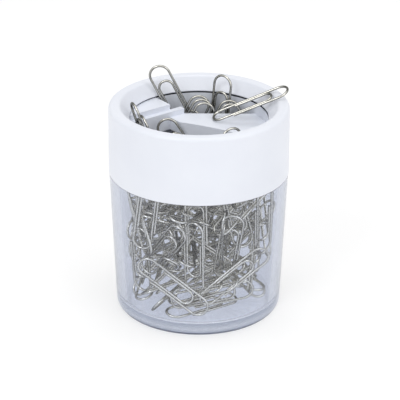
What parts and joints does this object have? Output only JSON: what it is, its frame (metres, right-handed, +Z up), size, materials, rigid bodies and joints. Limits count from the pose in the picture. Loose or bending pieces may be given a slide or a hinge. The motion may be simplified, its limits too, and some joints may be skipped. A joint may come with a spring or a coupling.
{
  "type": "paper clip holder",
  "caption": "Round desk holder: a clear tapered tub of loose paper clips under a white cap whose magnetic throat holds clips ready to be picked.",
  "frame": {"origin": "centre of the tub's flat underside, on the resting plane", "axes": "+Z up along the holder's axis; front towards -Y; right towards +X"},
  "size_m": [0.072, 0.072, 0.0955],
  "materials": {
    "clear_plastic": "clear moulded polystyrene, polished",
    "white_plastic": "white moulded plastic, satin gloss",
    "insert_plastic": "white moulded plastic, satin gloss",
    "magnet_strip": "dark flexible magnet strip, matt",
    "clip_wire": "nickel-plated drawn steel wire"
  },
  "bodies": {
    "tub": {"clear_tub": "clear_plastic", "front_wall_clips": "clip_wire", "heap_layer_1": "clip_wire", "heap_layer_2": "clip_wire", "heap_layer_3": "clip_wire", "heap_layer_4": "clip_wire", "side_wall_clips": "clip_wire"},
    "cap": {"cap": "white_plastic", "throat_insert": "insert_plastic", "ring_magnet": "magnet_strip"},
    "leaning_clip_body": {"leaning_clip": "clip_wire"},
    "standing_clip_body": {"standing_clip": "clip_wire"},
    "front_clip_body": {"front_clip": "clip_wire"},
    "corner_clip_body": {"corner_clip": "clip_wire"},
    "left_outer_clip_body": {"left_outer_clip": "clip_wire"},
    "left_inner_clip_body": {"left_inner_clip": "clip_wire"},
    "back_clip_front_body": {"back_clip_front": "clip_wire"},
    "back_clip_middle_body": {"back_clip_middle": "clip_wire"},
    "back_clip_rear_body": {"back_clip_rear": "clip_wire"},
    "right_clip_front_body": {"right_clip_front": "clip_wire"},
    "right_clip_rear_body": {"right_clip_rear": "clip_wire"},
    "rim_clip_body": {"rim_clip": "clip_wire"}
  },
  "joints": [
    {"name": "cap_lift", "type": "slide", "parent": "tub", "child": "cap", "axis": [0, 0, 1], "range_m": [0, 0.045]},
    {"name": "leaning_clip_pull", "type": "slide", "parent": "cap", "child": "leaning_clip_body", "axis": [-0.4462, 0, 0.8949], "range_m": [0, 0.028]},
    {"name": "standing_clip_pull", "type": "slide", "parent": "cap", "child": "standing_clip_body", "axis": [0.087, 0.0521, 0.9948], "range_m": [0, 0.032]},
    {"name": "front_clip_pull", "type": "slide", "parent": "cap", "child": "front_clip_body", "axis": [-0.5299, 0, 0.848], "range_m": [0, 0.047]},
    {"name": "corner_clip_pull", "type": "slide", "parent": "cap", "child": "corner_clip_body", "axis": [0.1043, -0.0694, 0.9921], "range_m": [0, 0.036]},
    {"name": "left_outer_clip_pull", "type": "slide", "parent": "cap", "child": "left_outer_clip_body", "axis": [-0.3086, 0.0498, 0.9499], "range_m": [0, 0.034]},
    {"name": "left_inner_clip_pull", "type": "slide", "parent": "cap", "child": "left_inner_clip_body", "axis": [-0.3086, 0.0498, 0.9499], "range_m": [0, 0.038]},
    {"name": "back_clip_front_pull", "type": "slide", "parent": "cap", "child": "back_clip_front_body", "axis": [0.4384, 0, 0.8988], "range_m": [0, 0.043]},
    {"name": "back_clip_middle_pull", "type": "slide", "parent": "cap", "child": "back_clip_middle_body", "axis": [0.4384, 0, 0.8988], "range_m": [0, 0.042]},
    {"name": "back_clip_rear_pull", "type": "slide", "parent": "cap", "child": "back_clip_rear_body", "axis": [0.4384, 0, 0.8988], "range_m": [0, 0.041]},
    {"name": "right_clip_front_pull", "type": "slide", "parent": "cap", "child": "right_clip_front_body", "axis": [0.4384, 0, 0.8988], "range_m": [0, 0.044]},
    {"name": "right_clip_rear_pull", "type": "slide", "parent": "cap", "child": "right_clip_rear_body", "axis": [0.4384, 0, 0.8988], "range_m": [0, 0.043]},
    {"name": "rim_clip_pull", "type": "slide", "parent": "cap", "child": "rim_clip_body", "axis": [0, 0, 1], "range_m": [0, 0.013]}
  ]
}
